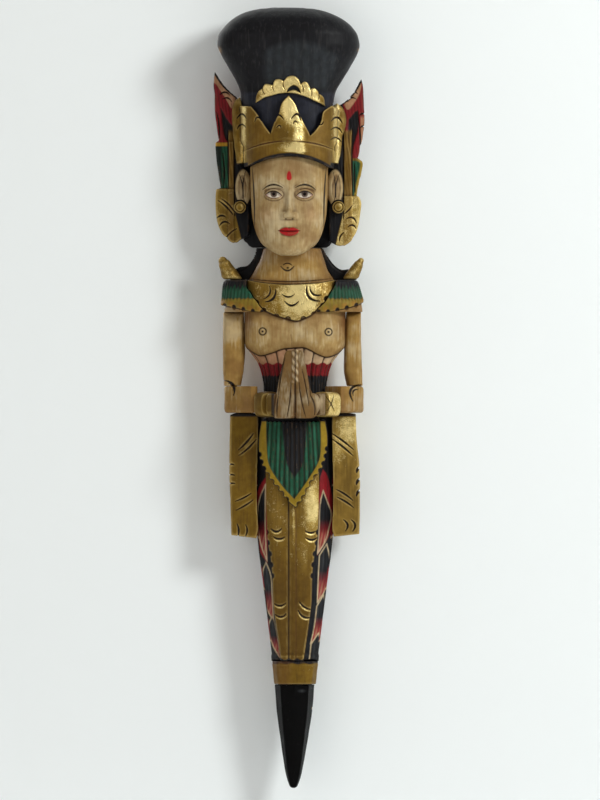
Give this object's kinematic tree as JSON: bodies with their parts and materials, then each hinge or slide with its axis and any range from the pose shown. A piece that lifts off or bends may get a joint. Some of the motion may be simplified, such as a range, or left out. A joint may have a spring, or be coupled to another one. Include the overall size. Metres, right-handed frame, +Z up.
{
  "type": "rod puppet",
  "caption": "Carved wooden rod puppet: praying figure with tall headdress; central rod and pointed foot turn the head; arms swing at shoulder and elbow pins.",
  "frame": {"origin": "middle of the small flat foot at the end of the spike, on the central rod's axis", "axes": "+Z up along the central rod towards the headdress, -Y the way the figure faces, +X the figure's own left (the viewer's right)"},
  "size_m": [0.1177, 0.0763, 0.6],
  "materials": {
    "flesh_paint": "cream paint rubbed with brown stain, satin",
    "gold_leaf": "gold leaf and ochre paint, rubbed, satin",
    "black_paint": "black paint, satin",
    "black_lacquer": "black lacquer, glossy",
    "green_paint": "green, black and yellow paint, satin",
    "bare_wood": "unpainted, dull"
  },
  "bodies": {
    "trunk": {"torso": "flesh_paint", "lower_body": "gold_leaf", "ferrule": "gold_leaf", "hip_panel_left": "gold_leaf", "hip_panel_right": "gold_leaf", "hip_dowel_left": "bare_wood", "hip_dowel_right": "bare_wood", "apron": "green_paint", "apron_dowel": "bare_wood", "collar": "gold_leaf", "cape_left": "green_paint", "cape_right": "green_paint", "horn_left": "gold_leaf", "horn_right": "gold_leaf", "nape_board": "black_paint", "waist_dowel_left": "bare_wood", "waist_dowel_right": "bare_wood", "shoulder_pin_left": "bare_wood", "shoulder_pin_right": "bare_wood"},
    "head_and_rod": {"head": "flesh_paint", "hair_back": "black_paint", "headdress": "black_paint", "diadem": "gold_leaf", "crown": "gold_leaf", "wing_left": "gold_leaf", "wing_right": "gold_leaf", "earring_left": "gold_leaf", "earring_right": "gold_leaf", "hair_dowel_left": "bare_wood", "hair_dowel_right": "bare_wood", "wing_dowel_left": "bare_wood", "wing_dowel_right": "bare_wood", "central_rod": "bare_wood", "spike": "black_lacquer", "spike_pin": "bare_wood"},
    "arm_left": {"upper_arm_left": "flesh_paint", "elbow_pin_left": "bare_wood"},
    "arm_right": {"upper_arm_right": "flesh_paint", "elbow_pin_right": "bare_wood"},
    "forearm_and_hand_left": {"forearm_left": "flesh_paint", "bracelet_left": "gold_leaf", "hand_left": "flesh_paint", "wrist_dowel_left": "bare_wood"},
    "forearm_and_hand_right": {"forearm_right": "flesh_paint", "bracelet_right": "gold_leaf", "hand_right": "flesh_paint", "wrist_dowel_right": "bare_wood"}
  },
  "joints": [
    {"name": "head_turn", "type": "hinge", "parent": "trunk", "child": "head_and_rod", "pos_m": [0, 0, 0.415], "axis": [0, 0, 1], "range_deg": [-45, 45]},
    {"name": "shoulder_left", "type": "hinge", "parent": "trunk", "child": "arm_left", "pos_m": [0.047, 0, 0.3555], "axis": [-1, 0, 0], "range_deg": [0, 70]},
    {"name": "shoulder_right", "type": "hinge", "parent": "trunk", "child": "arm_right", "pos_m": [-0.047, 0, 0.3555], "axis": [-1, 0, 0], "range_deg": [0, 70]},
    {"name": "elbow_left", "type": "hinge", "parent": "arm_left", "child": "forearm_and_hand_left", "pos_m": [0.047, 0, 0.309], "axis": [0, 0, 1], "range_deg": [0, 100]},
    {"name": "elbow_right", "type": "hinge", "parent": "arm_right", "child": "forearm_and_hand_right", "pos_m": [-0.047, 0, 0.309], "axis": [0, 0, -1], "range_deg": [0, 100]}
  ]
}
